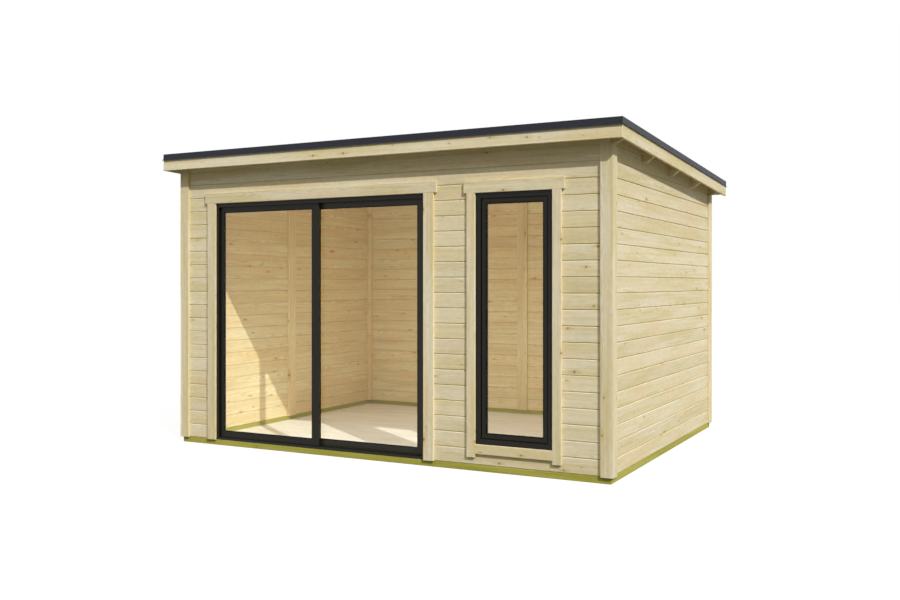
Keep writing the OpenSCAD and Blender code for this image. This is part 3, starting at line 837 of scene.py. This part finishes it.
def drivePins():
    pile = Pile("boardPins")
    for node in coverBoards["nodes"].values():
        for low, high in partBoxes(node):
            size = [high[n] - low[n] for n in range(3)]
            thin = size.index(min(size))
            long = size.index(max(size))
            wide = 3 - thin - long
            outward = 1 if low[thin] + high[thin] > 0 else -1
            pinned = size[long] - 2 * pins["fromEnd"]
            count = max(2, round(pinned / pins["every"]) + 1)
            for n in range(count):
                spot = Vector((0, 0, 0))
                spot[thin] = high[thin] if outward > 0 else low[thin]
                spot[wide] = (low[wide] + high[wide]) / 2
                spot[long] = low[long] + pins["fromEnd"] + n * pinned / (count - 1)
                out = Vector((0, 0, 0))
                out[thin] = outward
                shell = bmesh.new()
                turn = worldAxes[2].rotation_difference(out).to_matrix().to_4x4()
                bmesh.ops.create_cone(shell, cap_ends=True, segments=pins["sides"], radius1=pins["radius"],
                                      radius2=pins["radius"] * pins["crown"], depth=pins["proud"] * 2,
                                      matrix=Matrix.Translation(spot) @ turn)
                pile.add(shell)
    return pile.build([zincSteel], "house", "fittings")


drivePins()
print("pins driven")

# Camera, lamps and surroundings
view = {"spot": (3.980, -7.788, 1.370), "turn": 27.72, "lens": 38.232, "sensor": 36, "lift": -0.01837}
camera = bpy.data.objects.new("camera", bpy.data.cameras.new("camera"))
camera.location = view["spot"]
camera.rotation_euler = (math.radians(90), 0, math.radians(view["turn"]))
camera.data.lens = view["lens"]
camera.data.sensor_width = view["sensor"]
camera.data.shift_y = view["lift"]
scene.collection.objects.link(camera)
scene.camera = camera

daylight = {
    "sun": 2.92, "from": (1.355, -1.0, 1.37), "angle": 0.6, "sunColour": (1.0, 0.977, 0.935),
    "fill": 1.1, "fillFrom": (-1.0, 1.05, 1.0), "fillAngle": 30, "fillColour": (0.97, 0.99, 1.0),
    "horizon": (0.180, 0.178, 0.160, 1.0), "zenith": (0.94, 0.94, 0.94, 1.0), "zenithFrom": 0.9,
    "ground": (0.12, 0.115, 0.085, 1.0), "groundLift": 0.80, "groundShare": 0.22,
    "groundHalf": 60.0, "groundBelow": 0.0004,
}


def hangSun(name, energy, comesFrom, angle, colour):
    sun = bpy.data.objects.new(name, bpy.data.lights.new(name, "SUN"))
    sun.data.energy = energy
    sun.data.angle = math.radians(angle)
    sun.data.color = colour
    sun.rotation_euler = Vector(comesFrom).to_track_quat("Z", "Y").to_euler()
    scene.collection.objects.link(sun)


hangSun("sun", daylight["sun"], daylight["from"], daylight["angle"], daylight["sunColour"])
hangSun("skyFill", daylight["fill"], daylight["fillFrom"], daylight["fillAngle"], daylight["fillColour"])

# Wide lamps carry the light about inside the room, as its pale floor and openings do
roomLight = {
    "inset": 0.25, "up": 4.0, "upHeight": 0.05, "down": 8.5, "downHeight": 2.1, "downSpread": 100,
    "doorIn": 3.0, "windowIn": 11.0, "behindWall": 0.01, "spread": 180, "colour": (1.0, 0.985, 0.95),
}


def lightRoom():
    # each lamp has a power, a size, a spot, a turn about x and a spread
    middle = Vector(((leftInner + rightInner) / 2, (frontInner + backInner) / 2, 0))
    spare = 2 * roomLight["inset"]
    room = (rightInner - leftInner - spare, backInner - frontInner - spare)
    nearFloor = middle + worldAxes[2] * roomLight["upHeight"]
    nearRoof = middle + worldAxes[2] * roomLight["downHeight"]
    lamps = [("lampUp", roomLight["up"], room, nearFloor, math.pi, roomLight["spread"]),
             ("lampDown", roomLight["down"], room, nearRoof, 0.0, roomLight["downSpread"])]
    for name, node, level in (("lampDoor", "door_jambs", roomLight["doorIn"]),
                              ("lampWindow", "window_frame", roomLight["windowIn"])):
        low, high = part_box(node)
        size = (high.x - low.x, high.z - low.z)
        spot = Vector(((low.x + high.x) / 2, frontInner + roomLight["behindWall"], (low.z + high.z) / 2))
        lamps.append((name, level * size[0] * size[1], size, spot, math.pi / 2, roomLight["spread"]))
    for name, power, size, spot, turn, spread in lamps:
        lamp = bpy.data.objects.new(name, bpy.data.lights.new(name, "AREA"))
        lamp.data.shape = "RECTANGLE"
        lamp.data.energy = power
        lamp.data.color = roomLight["colour"]
        lamp.data.size, lamp.data.size_y = size
        lamp.data.spread = math.radians(spread)
        lamp.location = spot
        lamp.rotation_euler = (turn, 0, 0)
        lamp.visible_camera = False
        lamp.visible_glossy = False
        lamp.visible_transmission = False
        scene.collection.objects.link(lamp)


lightRoom()


def seenDirectly(finish):
    # 1 for what the camera, a mirror or glass sees, 0 for what lights the house
    path = finish.add("ShaderNodeLightPath", {}, {}, "Is Camera Ray")
    outputs = path.socket.node.outputs
    total = path + Wire(finish, outputs["Is Glossy Ray"]) + Wire(finish, outputs["Is Transmission Ray"])
    return total.sum("MINIMUM", total, 1.0)


def makeSurroundings():
    world = bpy.data.worlds.new("surroundings")
    scene.world = world
    sky = Finish(world)
    seen = seenDirectly(sky)
    height = sky.split(sky.add("ShaderNodeTexCoord", {}, {}, "Generated"))[2]
    dome = sky.mix(sky.fade(height, 0.0, daylight["zenithFrom"]), daylight["horizon"], daylight["zenith"])
    light = sky.add("ShaderNodeBackground", {}, {"Color": dome, "Strength": 1.0})
    blank = sky.add("ShaderNodeBackground", {}, {"Color": white, "Strength": 1.0})
    sky.close(sky.add("ShaderNodeMixShader", {}, {0: seen, 1: light, 2: blank}), "ShaderNodeOutputWorld")

    mesh = bpy.data.meshes.new("ground")
    half, below = daylight["groundHalf"], -daylight["groundBelow"]
    around = [(-half, -half, below), (half, -half, below), (half, half, below), (-half, half, below)]
    mesh.from_pydata(around, [], [(0, 1, 2, 3)])
    ground = bpy.data.objects.new("ground", mesh)
    scene.collection.objects.link(ground)
    finish = Finish(bpy.data.materials.new("paleGround"))
    seen = seenDirectly(finish)
    matt = finish.add("ShaderNodeBsdfDiffuse", {}, {"Color": daylight["ground"]})
    glow = finish.add("ShaderNodeEmission", {}, {"Color": white, "Strength": daylight["groundLift"]})
    paper = finish.add("ShaderNodeBsdfDiffuse", {}, {"Color": (daylight["groundShare"],) * 3 + (1.0,)})
    shown = finish.add("ShaderNodeAddShader", {}, {0: glow, 1: paper})
    mesh.materials.append(finish.close(finish.add("ShaderNodeMixShader", {}, {0: seen, 1: matt, 2: shown})))


makeSurroundings()
print("camera, lamps and ground placed")
